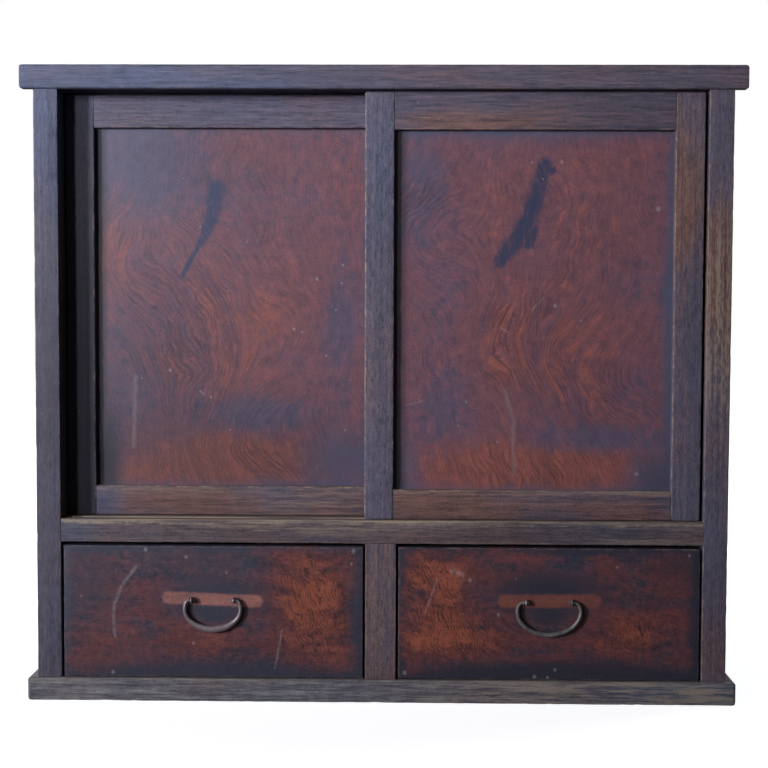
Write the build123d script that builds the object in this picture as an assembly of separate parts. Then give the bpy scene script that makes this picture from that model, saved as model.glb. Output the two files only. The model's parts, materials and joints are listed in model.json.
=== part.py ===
"""Mizuya kitchen cabinet: a framed case with two sliding doors over two drawers.

Frame: +X to the viewer's right, the front faces -Y, +Z up, millimetres.
The origin is at the bottom centre of the whole cabinet, handles included.
Every function returns one wooden or iron piece. Pieces meet in mortises, grooves and
rebates, which are cut by the very piece that they receive.
"""
from build123d import *
import os
from math import cos, pi, sin

os.makedirs("parts", exist_ok=True)

# ------------------------------------------------------------------ driving sizes
# case
case_width = 849.0              # over the outside faces of the posts
case_depth = 394.0              # front of the front posts to back of the rear posts
post_width = 30.3               # one sun
front_post_depth = 60.0         # covers both door tracks
rear_post_depth = 30.3
centre_post_width = 38.2

# levels, from the floor up
plinth_height = 28.5
drawer_opening_height = 168.6
sill_height = 29.0
door_opening_height = 524.0
top_thickness = 29.5

# how far the top and the plinth stand out past the posts
top_lip_reach = 16.0            # the front lip's ears, past the posts
top_lip_thickness = 8.0
top_overhang_front = 3.0
top_overhang_back = 3.0
plinth_overhang_side = 12.5
plinth_overhang_front = 3.0
plinth_overhang_back = 3.0

# boards and panels
top_board_thickness = 12.0
bottom_board_thickness = 10.0
floor_board_thickness = 10.0
shelf_thickness = 12.0
shelf_height = 250.0            # underside of the shelf above the cupboard floor
shelf_play = 2.0                # the loose shelf, back and front
side_panel_thickness = 8.0
side_panel_inset = 10.0         # back from the outside face of the posts
back_board_thickness = 8.0
back_board_inset = 10.0
board_rebate = 8.0              # how far top, floor and bottom boards lie on their rails
panel_groove = 6.0
cleat_height = 18.0
guide_height = 22.0
kicker_width = 62.0
kicker_height = 19.0
kicker_tenon_height = 8.6

# tenons of the case
tenon_thickness = 10.0
post_tenon_length = 16.0
sill_tenon_length = 18.0
side_tenon_length = 10.0
tenon_shoulder = 11.0
tenon_spacing = 4.0             # between two tenons that meet in one post

# doors
door_overlap = 39.6             # of the two meeting stiles, doors shut
door_thickness = 22.0
front_door_setback = 5.0        # back from the face of the posts
door_spacing = 4.0              # between the two doors
left_door_side_gap = 1.5
right_door_side_gap = 3.5
door_top_gap = 3.2
door_bottom_gap = 1.5
stile_width = 35.8
left_top_rail_height = 39.5
right_top_rail_height = 44.5
bottom_rail_height = 36.0
door_panel_thickness = 6.0
door_panel_setback = 8.0
door_panel_groove = 7.0
door_tenon_thickness = 6.0
door_tenon_length = 24.0
door_tenon_shoulder = 8.0
tongue_setback = 7.0            # the running tongue, back from the face of its door
tongue_thickness = 8.0
groove_side_play = 0.5
top_groove_depth = 12.0
top_tongue_length = 10.2        # above the door's shoulder; lower than the groove, to lift out
sill_groove_depth = 3.0
running_clearance = 0.3

# drawers
drawer_side_gap = 2.5
drawer_top_gap = 4.1
drawer_front_lift = 1.0         # lower edge of the front above the plinth
drawer_front_setback = 0.5
drawer_front_thickness = 18.0
drawer_back_space = 33.5        # between a shut drawer and the back boards
drawer_side_thickness = 9.0
drawer_side_height = 150.0
drawer_bottom_thickness = 7.0
drawer_bottom_rebate = 8.0
finger_lap = 9.0
fingers_per_corner = 3          # on the side piece
peg_radius = 1.6
peg_length = 22.0

# iron: swinging bails on split pins
bail_axis_height = 96.8         # above the lower edge of the drawer front
bail_axis_standoff = 4.8        # in front of the drawer front
bail_end_radius = 1.8
bail_side_radius = 2.4          # where the curled shoulder ends and the grip begins to swell
bail_tip_length = 3.4           # inside the eye
bail_shoulder = 4.0             # straight run outside the eye
bail_facets = 8                 # the smith's soft facets round the bar
collar_radius = 2.6             # the swellings on both sides of an eye
collar_chamfer = 0.4
collar_play = 0.5
eye_strip_thickness = 2.0
eye_clearance = 0.35
pin_leg_width = 2.6             # the strip that a split pin is folded from
pin_leg_thickness = 1.3
pin_clinch_length = 10.0
# per drawer: outer width, eye spacing, drop to the underside, heights of the curled
# shoulder, and the section's height and depth at the middle of the grip
bail_sizes = {
    "left": dict(width=73.4, eyes=52.0, drop=40.2, curl=11.0, grip_height=9.0, grip_depth=6.6),
    "right": dict(width=82.5, eyes=56.0, drop=42.6, curl=11.0, grip_height=5.8, grip_depth=5.4),
}

# edges
arris = 1.0                     # hand-worn long edges of the frame
inner_arris = 0.6               # bevels of the door frames and of the lighter rails
top_end_radius = 2.5
plinth_end_radius = 4.0

# ------------------------------------------------------------------ derived places
half_case = case_width / 2
half_inner = half_case - post_width
half_centre = centre_post_width / 2
half_lip = half_case + top_lip_reach
half_plinth = half_case + plinth_overhang_side

z_plinth = plinth_height
z_sill_under = z_plinth + drawer_opening_height
z_sill = z_sill_under + sill_height
z_head = z_sill + door_opening_height
z_top = z_head + top_thickness

bail_reach = bail_axis_standoff - drawer_front_setback + max(
    max(size["grip_depth"] for size in bail_sizes.values()) / 2,
    eye_strip_thickness + bail_end_radius + eye_clearance)
front_reach = max(top_overhang_front, plinth_overhang_front, bail_reach)
back_reach = case_depth + max(top_overhang_back, plinth_overhang_back)
y_face = (front_reach - back_reach) / 2
y_back = y_face + case_depth
y_post = y_face + front_post_depth
y_rear = y_back - rear_post_depth

x_panel_out = half_case - side_panel_inset
x_panel_in = x_panel_out - side_panel_thickness
x_board = half_inner + board_rebate
side_centre = half_case - post_width / 2
y_back_board = y_back - back_board_inset - back_board_thickness

door_width = (2 * half_inner - left_door_side_gap - right_door_side_gap + door_overlap) / 2
y_door = {"right": y_face + front_door_setback}
y_door["left"] = y_door["right"] + door_thickness + door_spacing
y_drawer = y_face + drawer_front_setback
y_drawer_back = y_back_board - drawer_back_space
z_drawer = z_plinth + drawer_front_lift
z_drawer_bottom = z_plinth + running_clearance
z_drawer_side = z_drawer_bottom + drawer_bottom_thickness


# ------------------------------------------------------------------ shaping helpers
def span(x, y, z):
    """A plain block between two corners, given as (low, high) on each axis."""
    return Pos((x[0] + x[1]) / 2, (y[0] + y[1]) / 2, (z[0] + z[1]) / 2) * Box(
        x[1] - x[0], y[1] - y[0], z[1] - z[0])


def planed(x, y, z, along, easing=fillet, size=arris):
    """A member whose four long edges, along one axis, are rounded or bevelled."""
    block = span(x, y, z)
    return easing(block.edges().filter_by(along), size)


def received(host, *guests):
    """The host with a seat cut for each guest: mortises, grooves and rebates."""
    for guest in guests:
        host = host - guest
    return host


def both(low, high):
    """The range as a tuple, lower end first."""
    return (min(low, high), max(low, high))


def mirrored(side, near, far):
    """A range on X given for the right side, turned to the named side."""
    sign = 1 if side == "right" else -1
    return both(sign * near, sign * far)


def widened(limits, by):
    """The range grown by the same amount at both ends."""
    return (limits[0] - by, limits[1] + by)


# ------------------------------------------------------------------ boards and panels
def top_board():
    """The flush board that closes the top frame; it lies in rebates on four sides."""
    return span((-x_board, x_board), (y_post - board_rebate, y_rear + board_rebate),
                (z_top - top_board_thickness, z_top))


def case_bottom():
    """The board that the drawers run on, level with the plinth."""
    return span((-x_board, x_board), (y_post - board_rebate, y_rear + board_rebate),
                (z_plinth - bottom_board_thickness, z_plinth))


def cupboard_floor():
    """The cupboard's floor, level with the sill, notched round the four posts."""
    floor = span((-x_board, x_board), (y_post - board_rebate, y_rear + board_rebate),
                 (z_sill - floor_board_thickness, z_sill))
    for side in ("left", "right"):
        corner = mirrored(side, half_inner, x_board)
        for depth in ((y_post - board_rebate, y_post), (y_rear, y_rear + board_rebate)):
            floor -= span(corner, depth, (z_sill - floor_board_thickness, z_sill))
    return floor


def side_panel(side, low, high):
    """A thin board held in grooves of two posts and two rails."""
    return span(mirrored(side, x_panel_in, x_panel_out), (y_post - panel_groove, y_rear + panel_groove),
                (low - panel_groove, high + panel_groove))


def back_board(x, low, high):
    """A back board in the grooves of the rear frame."""
    return span(x, (y_back_board, y_back_board + back_board_thickness),
                (low - panel_groove, high + panel_groove))


# ------------------------------------------------------------------ frame of the case
def post(side, place):
    """A corner post with a stub tenon at its head and foot."""
    x = mirrored(side, half_inner, half_case)
    y = (y_face, y_post) if place == "front" else (y_rear, y_back)
    body = planed(x, y, (z_plinth, z_head), Axis.Z)
    middle = (x[0] + x[1]) / 2
    depth = (y[0] + tenon_shoulder, y[1] - tenon_shoulder)
    if place == "front":
        depth = (y[0] + tenon_shoulder, y[1] - side_tenon_length - tenon_shoulder)
    return body + span((middle - tenon_thickness / 2, middle + tenon_thickness / 2), depth,
                       (z_plinth - post_tenon_length, z_head + post_tenon_length))


def centre_post():
    """The short post between the drawers, tenoned into plinth and sill."""
    body = planed((-half_centre, half_centre), (y_face, y_post), (z_plinth, z_sill_under), Axis.Z)
    tenon = span((-tenon_thickness / 2, tenon_thickness / 2),
                 (y_face + tenon_shoulder, y_post - side_tenon_length - tenon_shoulder),
                 (z_plinth - post_tenon_length, z_sill_under + post_tenon_length))
    return body + tenon


def door_grooves(floor, ceiling):
    """The two tracks, front and rear, between two levels and between the posts."""
    tracks = []
    for side in ("right", "left"):
        front = y_door[side] + tongue_setback - groove_side_play
        back = y_door[side] + tongue_setback + tongue_thickness + groove_side_play
        tracks.append(span((-half_inner, half_inner), (front, back), (floor, ceiling)))
    return tracks


def sill_rail():
    """The rail under the doors, with two shallow tracks and a tenon at each end."""
    body = planed((-half_inner, half_inner), (y_face, y_post), (z_sill_under, z_sill), Axis.X)
    tenon = span(widened((-half_inner, half_inner), sill_tenon_length),
                 (y_face + tenon_shoulder, y_post - side_tenon_length - tenon_shoulder),
                 (z_sill_under + tenon_shoulder / 2, z_sill - floor_board_thickness))
    return received(body + tenon, *door_grooves(z_sill - sill_groove_depth, z_sill))


def rear_middle_rail():
    """The rail behind the sill; its tenons pass clear of the side rails'."""
    body = planed((-half_inner, half_inner), (y_rear, y_back), (z_sill_under, z_sill), Axis.X,
                  chamfer, inner_arris)
    tenon = span(widened((-half_inner, half_inner), side_tenon_length),
                 (y_rear + side_tenon_length + tenon_spacing, y_back_board + back_board_thickness),
                 (z_sill_under + tenon_shoulder / 2, z_sill - floor_board_thickness))
    return body + tenon


def side_rail(side, low, high, outer, grow=0.0):
    """A rail from front to back with a stub tenon at each end."""
    body = planed(mirrored(side, half_inner, outer), (y_post, y_rear), (low, high), Axis.Y,
                  chamfer, inner_arris)
    middle = side_centre + grow
    inner_face = middle - tenon_thickness / 2
    outer_face = middle + tenon_thickness / 2
    level = (low + high) / 2
    return body + span(mirrored(side, inner_face, outer_face),
                       widened((y_post, y_rear), side_tenon_length),
                       (level - tenon_thickness / 2, level + tenon_thickness / 2))


def top_front_rail():
    """The front edge of the top: a lip with ears past the posts, and two deep door tracks."""
    body = span((-half_case, half_case), (y_face, y_post), (z_head, z_top))
    lip_front = y_face - top_overhang_front
    lip = span((-half_lip, half_lip), (lip_front, lip_front + top_lip_thickness), (z_head, z_top))
    worn = lip.edges().filter_by(Axis.X).group_by(Axis.Y)[0] + lip.edges().filter_by(Axis.Y)
    return received(body + fillet(worn, top_end_radius),
                    *door_grooves(z_head, z_head + top_groove_depth))


def top_rear_rail():
    """The rear rail of the top frame."""
    body = span((-half_case, half_case), (y_rear, y_back + top_overhang_back), (z_head, z_top))
    return fillet(body.edges().filter_by(Axis.X).group_by(Axis.Y)[-1], top_end_radius)


def plinth_rail(place):
    """A long plinth rail; its ends are worn rounder than the rest."""
    y = (y_face - plinth_overhang_front, y_post)
    outward = 0
    if place == "rear":
        y = (y_rear, y_back + plinth_overhang_back)
        outward = -1
    body = span((-half_plinth, half_plinth), y, (0, z_plinth))
    body = fillet(body.edges().filter_by(Axis.Z).group_by(Axis.Y)[outward], plinth_end_radius)
    return chamfer(body.faces().sort_by(Axis.Z)[-1].edges(), arris)


# ------------------------------------------------------------------ cupboard and drawer fittings
def shelf_level():
    """The shelf's underside."""
    return z_sill + shelf_height


def shelf_board():
    """The loose shelf behind the doors, resting on two cleats."""
    front = y_door["left"] + door_thickness + door_spacing * 2
    board = span(widened((-x_panel_in, x_panel_in), -running_clearance),
                 (max(front, y_post) + shelf_play, y_rear - shelf_play),
                 (shelf_level(), shelf_level() + shelf_thickness))
    return fillet(board.edges().filter_by(Axis.X).group_by(Axis.Y)[0], arris)


def shelf_cleat(side):
    """A strip on the side panel, housed between the posts."""
    return span(mirrored(side, half_inner, x_panel_in), (y_post, y_rear),
                (shelf_level() - cleat_height, shelf_level()))


def side_guide(side):
    """A strip that fills the recess beside a drawer and keeps it straight."""
    return span(mirrored(side, half_inner, x_panel_in), (y_post, y_rear),
                (z_plinth, z_plinth + guide_height))


def centre_guide():
    """The strip between the two drawers, behind the centre post."""
    return span((-half_centre, half_centre), (y_post, y_rear), (z_plinth, z_plinth + guide_height))


def drawer_kicker():
    """Carries the middle of the floor, and stops the drawers from tipping."""
    top = z_sill - floor_board_thickness
    body = span((-kicker_width / 2, kicker_width / 2), (y_post, y_rear), (top - kicker_height, top))
    level = top - kicker_height / 2
    tenon = span((-half_centre / 2, half_centre / 2), widened((y_post, y_rear), side_tenon_length / 2),
                 widened((level, level), kicker_tenon_height / 2))
    return body + tenon


# ------------------------------------------------------------------ sliding doors
def door(side):
    """One framed door: two stiles, two rails tenoned between them, and a panel."""
    if side == "left":
        x = (-half_inner + left_door_side_gap, -half_inner + left_door_side_gap + door_width)
        top_rail_height = left_top_rail_height
    else:
        x = (half_inner - right_door_side_gap - door_width, half_inner - right_door_side_gap)
        top_rail_height = right_top_rail_height
    face = y_door[side]
    thick = (face, face + door_thickness)
    low = z_sill + door_bottom_gap
    high = z_head - door_top_gap
    foot = z_sill - sill_groove_depth + running_clearance
    head = high + top_tongue_length
    tongue = (face + tongue_setback, face + tongue_setback + tongue_thickness)
    inner = (x[0] + stile_width, x[1] - stile_width)
    panel_z = (low + bottom_rail_height, high - top_rail_height)

    def running_tongues(across):
        """The tongues that run in the tracks, above and below the shoulders."""
        return span(across, tongue, (foot, low)) + span(across, tongue, (high, head))

    panel = span(widened(inner, door_panel_groove),
                 (face + door_panel_setback, face + door_panel_setback + door_panel_thickness),
                 widened(panel_z, door_panel_groove))
    tenon_y = face + (door_thickness + tongue_setback) / 2
    tenon_y = (tenon_y - door_tenon_thickness / 2, tenon_y + door_tenon_thickness / 2)

    def rail(limits, tongues):
        """A rail between the stiles with its two tenons and a stretch of the tongue."""
        body = planed(inner, thick, limits, Axis.X, chamfer, inner_arris)
        tenon = span(widened(inner, door_tenon_length), tenon_y, widened(limits, -door_tenon_shoulder))
        return received(body + tenon + tongues, panel)

    top_rail = rail((panel_z[1], high), span(inner, tongue, (high, head)))
    bottom_rail = rail((low, panel_z[0]), span(inner, tongue, (foot, low)))
    pieces = {"top_rail": top_rail, "bottom_rail": bottom_rail, "panel": panel}
    for name, width in (("stile_left", (x[0], inner[0])), ("stile_right", (inner[1], x[1]))):
        stile = planed(width, thick, (low, high), Axis.Z, chamfer, inner_arris) + running_tongues(width)
        pieces[name] = received(stile, panel, top_rail, bottom_rail)
    return pieces


# ------------------------------------------------------------------ drawers
def drawer(side):
    """One drawer: half-blind fingers at the front, through fingers at the back, pegged."""
    x = mirrored(side, half_centre + drawer_side_gap, half_inner - drawer_side_gap)
    back = y_drawer_back
    front_back = y_drawer + drawer_front_thickness
    top = z_sill_under - drawer_top_gap
    side_top = z_drawer_side + drawer_side_height
    pitch = drawer_side_height / (2 * fingers_per_corner - 1)
    bottom_start = front_back - drawer_bottom_rebate

    bottom = span(x, (bottom_start, back), (z_drawer_bottom, z_drawer_side))
    front = fillet(span(x, (y_drawer, front_back), (z_drawer, top)).edges().group_by(Axis.Y)[0], arris)
    rear = span(x, (back - finger_lap, back), (z_drawer_side, side_top))
    pieces = {"bottom": bottom}
    pegs = []
    for hand in ("left", "right"):
        edge, inward = (x[0], 1) if hand == "left" else (x[1], -1)
        cheek_x = both(edge, edge + inward * drawer_side_thickness)
        cheek = span(cheek_x, (front_back, back - finger_lap), (z_drawer_side, side_top))
        for count in range(fingers_per_corner):
            level = z_drawer_side + 2 * count * pitch
            for start in (front_back - finger_lap, back - finger_lap):
                cheek += span(cheek_x, (start, start + finger_lap), (level, level + pitch))
                middle = edge + inward * peg_length / 2
                whittled = extrude(Plane.YZ * RegularPolygon(peg_radius, 6), peg_length / 2, both=True)
                pegs.append(Pos(middle, start + finger_lap / 2, level + pitch / 2) * whittled)
        pieces["side_" + hand] = cheek
    front = received(front, bottom, pieces["side_left"], pieces["side_right"])
    rear = received(rear, pieces["side_left"], pieces["side_right"])
    pieces["front"] = received(front, *pegs, *pin_shanks(side))
    pieces["back"] = received(rear, *pegs)
    for hand in ("left", "right"):
        pieces["side_" + hand] = received(pieces["side_" + hand], *pegs)
    pieces["pegs"] = Compound(children=pegs)
    return pieces


# ------------------------------------------------------------------ iron
def bail_centre(side):
    """The middle of a bail's swing axis."""
    x = mirrored(side, half_centre + drawer_side_gap, half_inner - drawer_side_gap)
    return Vector((x[0] + x[1]) / 2, y_drawer - bail_axis_standoff, z_drawer + bail_axis_height)


def eye_offsets(side):
    """The two eyes' places along the swing axis."""
    return (-bail_sizes[side]["eyes"] / 2, bail_sizes[side]["eyes"] / 2)


def pin_shanks(side):
    """The square shanks that pass through the drawer front."""
    centre = bail_centre(side)
    start = centre.Y + bail_end_radius + eye_clearance + eye_strip_thickness / 2
    half = pin_leg_width / 2
    return [span((centre.X + x - half, centre.X + x + half), (start, y_drawer + drawer_front_thickness),
                 (centre.Z - half, centre.Z + half)) for x in eye_offsets(side)]


def split_pins(side):
    """Two split pins: an eye in front, and two legs clinched up and down inside."""
    centre = bail_centre(side)
    inside = y_drawer + drawer_front_thickness
    half = pin_leg_width / 2
    pins = []
    for x, shank in zip(eye_offsets(side), pin_shanks(side)):
        hole = bail_end_radius + eye_clearance
        strip = Circle(hole + eye_strip_thickness) - Circle(hole)
        eye = Pos(centre.X + x, centre.Y, centre.Z) * extrude(Plane.YZ * strip, half, both=True)
        legs = span((centre.X + x - half, centre.X + x + half), (inside, inside + pin_leg_thickness),
                    widened((centre.Z, centre.Z), pin_clinch_length))
        pins.append(eye + shank + legs)
    return Compound(children=pins)


def bail(side):
    """A forged bail: thin curled ends in the eyes, swelling to a grip at the bottom."""
    size = bail_sizes[side]
    eye = size["eyes"] / 2
    start = eye + bail_shoulder
    reach = size["width"] / 2 - bail_side_radius
    curl = size["curl"]
    depth = size["drop"] - size["grip_height"] / 2 - curl
    thin = (bail_end_radius, bail_end_radius)
    flank = (bail_side_radius, bail_side_radius)
    grip = (size["grip_depth"] / 2, size["grip_height"] / 2)

    def section(x, z, heading, start_size=thin, end_size=thin, share=0.0):
        """The faceted section at one station, square to the bail's run."""
        plane = Plane(origin=(x, 0, z), x_dir=(0, 1, 0), z_dir=(heading[0], 0, heading[1]))
        across, tall = [low + (high - low) * share for low, high in zip(start_size, end_size)]
        turns = [2 * pi * corner / bail_facets for corner in range(bail_facets)]
        return plane * Polygon(*[(across * cos(turn), tall * sin(turn)) for turn in turns], align=None)

    end_bar = extrude(section(eye - bail_tip_length, 0, (1, 0)), start - eye + bail_tip_length)
    rings = [section(start, 0, (1, 0))]
    for turn in (pi / 4, pi / 2):
        rings.append(section(start + (reach - start) * sin(turn), -curl * (1 - cos(turn)),
                             ((reach - start) * cos(turn), -curl * sin(turn)), thin, flank, sin(turn)))
    for turn in (pi / 8, pi / 4, 3 * pi / 8, pi / 2):
        rings.append(section(reach * cos(turn), -curl - depth * sin(turn),
                             (-reach * sin(turn), -depth * cos(turn)), flank, grip, sin(turn) ** 2))
    half = end_bar + loft(rings)
    clear = pin_leg_width / 2 + collar_play
    for low, high in ((eye - bail_tip_length, eye - clear), (eye + clear, start)):
        collar = extrude(Plane.YZ.offset(low) * RegularPolygon(collar_radius, bail_facets), high - low)
        ends = collar.edges().filter_by(Axis.X, reverse=True)
        half += chamfer(ends, collar_chamfer)
    centre = bail_centre(side)
    return Pos(centre.X, centre.Y, centre.Z) * (half + mirror(half, Plane.YZ))


# ------------------------------------------------------------------ assembly
def build():
    """Every piece by name."""
    parts = {
        "top_board": top_board(),
        "case_bottom": case_bottom(),
        "cupboard_floor": cupboard_floor(),
        "sill_rail": sill_rail(),
        "centre_post": centre_post(),
        "rear_middle_rail": rear_middle_rail(),
        "drawer_kicker": drawer_kicker(),
        "centre_guide": centre_guide(),
        "shelf_board": shelf_board(),
        "back_board_left": back_board((-half_inner - panel_groove, 0), z_sill, z_head),
        "back_board_right": back_board((0, half_inner + panel_groove), z_sill, z_head),
        "back_board_lower": back_board(widened((-half_inner, half_inner), panel_groove),
                                       z_plinth, z_sill_under),
    }
    for side in ("left", "right"):
        parts["side_panel_upper_" + side] = side_panel(side, z_sill, z_head)
        parts["side_panel_lower_" + side] = side_panel(side, z_plinth, z_sill_under)
        parts["side_middle_rail_" + side] = side_rail(side, z_sill_under, z_sill, half_case)
        parts["top_end_rail_" + side] = side_rail(side, z_head, z_top, half_case)
        parts["plinth_end_rail_" + side] = side_rail(side, 0, z_plinth, half_plinth, plinth_overhang_side / 2)
        parts["shelf_cleat_" + side] = shelf_cleat(side)
        parts["drawer_guide_" + side] = side_guide(side)
        for place in ("front", "rear"):
            parts[place + "_post_" + side] = post(side, place)
    parts["top_front_rail"] = top_front_rail()
    parts["top_rear_rail"] = top_rear_rail()
    parts["plinth_front_rail"] = plinth_rail("front")
    parts["plinth_rear_rail"] = plinth_rail("rear")

    boards = ["top_board", "case_bottom", "cupboard_floor", "back_board_left", "back_board_right",
              "back_board_lower"]
    boards += ["side_panel_" + level + "_" + side
               for level in ("upper", "lower") for side in ("left", "right")]
    rails_between = ["sill_rail", "rear_middle_rail", "side_middle_rail_left", "side_middle_rail_right"]
    posts = [place + "_post_" + side for place in ("front", "rear") for side in ("left", "right")]
    ends = ["top_end_rail_left", "top_end_rail_right", "plinth_end_rail_left", "plinth_end_rail_right"]
    long_rails = ["top_front_rail", "top_rear_rail", "plinth_front_rail", "plinth_rear_rail"]

    def seat(hosts, guests):
        """Cut seats in the hosts for those guests that reach into them."""
        for host in hosts:
            parts[host] = received(parts[host], *[parts[guest] for guest in guests])

    seat(["sill_rail", "rear_middle_rail"], ["drawer_kicker", "centre_post"])
    seat(rails_between + posts + ends + long_rails, boards)
    seat(posts, rails_between)
    seat(long_rails, posts + ends + ["centre_post"])

    for side in ("left", "right"):
        for name, piece in door(side).items():
            parts[side + "_door_" + name] = piece
        for name, piece in drawer(side).items():
            parts[side + "_drawer_" + name] = piece
        parts[side + "_drawer_eye_pins"] = split_pins(side)
        parts[side + "_bail"] = bail(side)
    return parts


for node, piece in build().items():
    piece.label = node
    export_step(piece, os.path.join("parts", node + ".step"))
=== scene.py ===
"""Finish of the mizuya cabinet: worn timber, figured boards, forged handles and a small studio.

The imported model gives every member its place. The long members that show are copied and
worn along their arrises, the iron is forged anew in its own places, and the boards keep
their solids under a new finish. Metres, +X to the viewer's right, the front faces -Y; the
tables of marks are in millimetres.
"""
import json
import math
import random
from functools import partialmethod

import bmesh
import bpy
from bpy.props import FloatProperty, FloatVectorProperty, IntProperty, PointerProperty
from mathutils import Matrix, Vector, noise


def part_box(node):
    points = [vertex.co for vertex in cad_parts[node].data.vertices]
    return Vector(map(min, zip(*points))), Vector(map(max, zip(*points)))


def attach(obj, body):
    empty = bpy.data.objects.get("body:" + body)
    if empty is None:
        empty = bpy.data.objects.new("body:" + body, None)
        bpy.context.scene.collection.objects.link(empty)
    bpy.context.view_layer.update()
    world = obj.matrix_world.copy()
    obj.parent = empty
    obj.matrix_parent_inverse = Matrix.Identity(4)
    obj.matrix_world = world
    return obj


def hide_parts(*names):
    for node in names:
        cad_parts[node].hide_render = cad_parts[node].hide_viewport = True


bl_info = {
    "name": "Mizuya Cabinet Finish",
    "version": (1, 0, 0),
    "blender": (4, 5, 0),
    "location": "View3D > Sidebar > Mizuya",
    "description": "Wears, stains and lights a small kitchen cabinet",
    "category": "Object",
}

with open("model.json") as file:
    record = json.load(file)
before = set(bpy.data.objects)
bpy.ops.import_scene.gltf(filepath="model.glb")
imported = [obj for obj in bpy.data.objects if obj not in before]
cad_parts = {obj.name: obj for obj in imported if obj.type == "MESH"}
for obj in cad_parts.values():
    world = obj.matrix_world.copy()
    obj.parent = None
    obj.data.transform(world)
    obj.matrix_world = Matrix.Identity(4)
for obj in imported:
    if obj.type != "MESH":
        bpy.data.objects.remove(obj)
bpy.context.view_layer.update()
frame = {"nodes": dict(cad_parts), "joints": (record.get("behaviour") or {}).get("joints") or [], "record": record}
BODY_OF = {node: body for body, nodes in frame["record"]["behaviour"]["bodies"].items() for node in nodes}
HINGE = {joint["child"]: Vector(joint["pos_m"]) for joint in frame["joints"] if joint["type"] == "hinge"}
SIDES = ("left", "right")
MM = 0.001


# -------- what a user may change
def screen(red, green, blue):
    """A colour picked on screen, each channel 0 to 255, as the linear triple that a shader takes."""
    shares = [channel / 255 for channel in (red, green, blue)]
    return tuple(share / 12.92 if share <= 0.04045 else ((share + 0.055) / 1.055) ** 2.4 for share in shares)


def swatch(name, description, *channels):
    """A colour property whose default is given as screen channels."""
    return FloatVectorProperty(name=name, description=description, subtype="COLOR", size=3, min=0.0, max=1.0,
                               default=screen(*channels))


def quantity(name, description, default):
    """A property that is a plain number, never below 0."""
    return FloatProperty(name=name, description=description, default=default, min=0.0)


def length(name, description, millimetres):
    """A length property whose default is given in millimetres."""
    return FloatProperty(name=name, description=description, default=millimetres * MM, unit="LENGTH", min=0.0)


class MizuyaTimber(bpy.types.PropertyGroup):
    """Colours of the stained frame and of the bare inner wood."""

    # The haze colour is bluish bloom on the wax, and also painted sheen of the window light from the left.
    haze: swatch("Haze", "Bluish bloom on the wax", 80, 84, 106)
    slate: swatch("Slate", "Wax and soot that lie on the open grain", 88, 79, 91)
    umber: swatch("Umber", "Brown stain where hands have rubbed the wax away", 112, 80, 72)
    pore: swatch("Pore", "Dark lines of the open grain", 42, 34, 40)
    rubbed: swatch("Rubbed", "Bare wood along a worn arris", 150, 130, 110)
    weathered: swatch("Weathered", "Greyed wood low down, where damp and feet have been", 120, 117, 112)
    plain: swatch("Plain", "Unstained softwood inside and behind", 128, 106, 84)
    plain_dark: swatch("Plain, aged", "Late wood and grime of the softwood", 86, 68, 54)
    bamboo: swatch("Bamboo", "Pegs of the drawer corners", 158, 132, 88)


class MizuyaFigure(bpy.types.PropertyGroup):
    """Colours of the figured boards."""

    red: swatch("Red", "Body of a door panel", 114, 74, 80)
    ember: swatch("Ember", "Glow of the figure where the lacquer is thin", 136, 78, 68)
    dusk: swatch("Dusk", "Plum haze between the glows", 92, 76, 92)
    # Slate also paints the window's sheen in the upper left of the left door panel.
    slate: swatch("Slate", "Grime at the borders of a panel", 76, 76, 95)
    line: swatch("Ring line", "Early wood of the growth rings", 62, 44, 52)
    soot: swatch("Soot", "Dark brushed stain on a panel", 42, 54, 78)
    # Grime also paints the shadow of the stile along a door panel's left border.
    grime: swatch("Grime", "Black dirt in the corners of a board", 28, 27, 34)
    drawer_red: swatch("Drawer red", "Body of a drawer front", 94, 52, 51)
    drawer_ember: swatch("Drawer ember", "Glow of the curly figure", 134, 71, 51)
    drawer_dusk: swatch("Drawer dusk", "Grime at the borders and round the handle", 52, 52, 64)
    drawer_line: swatch("Drawer line", "Dark curls of the figure", 50, 32, 33)
    ghost: swatch("Ghost", "Clean wood where a back plate was", 160, 104, 92)
    worn_edge: swatch("Worn edge", "Rubbed arrises of a drawer front", 120, 96, 92)
    chalk: swatch("Chalk", "Scratches, specks and dried drops", 164, 154, 154)


class MizuyaIron(bpy.types.PropertyGroup):
    """The forged handles."""

    left_bright: swatch("Left, rubbed", "Iron polished by the hand", 146, 130, 129)
    left_patina: swatch("Left, patina", "Brown skin in the hollows", 112, 97, 95)
    right_bright: swatch("Right, rubbed", "Iron polished by the hand", 142, 134, 128)
    right_patina: swatch("Right, patina", "Dark skin in the hollows", 90, 86, 83)
    end_radius: length("End radius", "Half the bar's thickness in the eyes", 1.8)
    side_radius: length("Side radius", "Half the bar's thickness at the sides", 2.4)
    knob_radius: length("Knob radius", "Half the swelling on both sides of an eye", 2.6)
    curl: length("Curl", "Height of a bail's shoulder", 11.0)
    left_grip: length("Left grip", "Height of the left grip's section", 9.0)
    right_grip: length("Right grip", "Height of the right grip's section", 5.8)
    left_depth: length("Left grip depth", "Depth of the left grip's section", 6.6)
    right_depth: length("Right grip depth", "Depth of the right grip's section", 5.4)
    facets: IntProperty(name="Facets", description="Sides of the bar's section", default=20, min=6, max=48)


class MizuyaWear(bpy.types.PropertyGroup):
    """How far edges are rubbed away."""

    depth: length("Depth", "Deepest wear of an arris", 0.85)
    reach: length("Reach", "How far from the arris the wear goes", 3.6)
    slice: length("Slice", "Spacing of the cuts along a member", 6.0)
    corner: length("Corner", "Rounding of the free ends of the top and of the plinth", 4.2)


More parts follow.
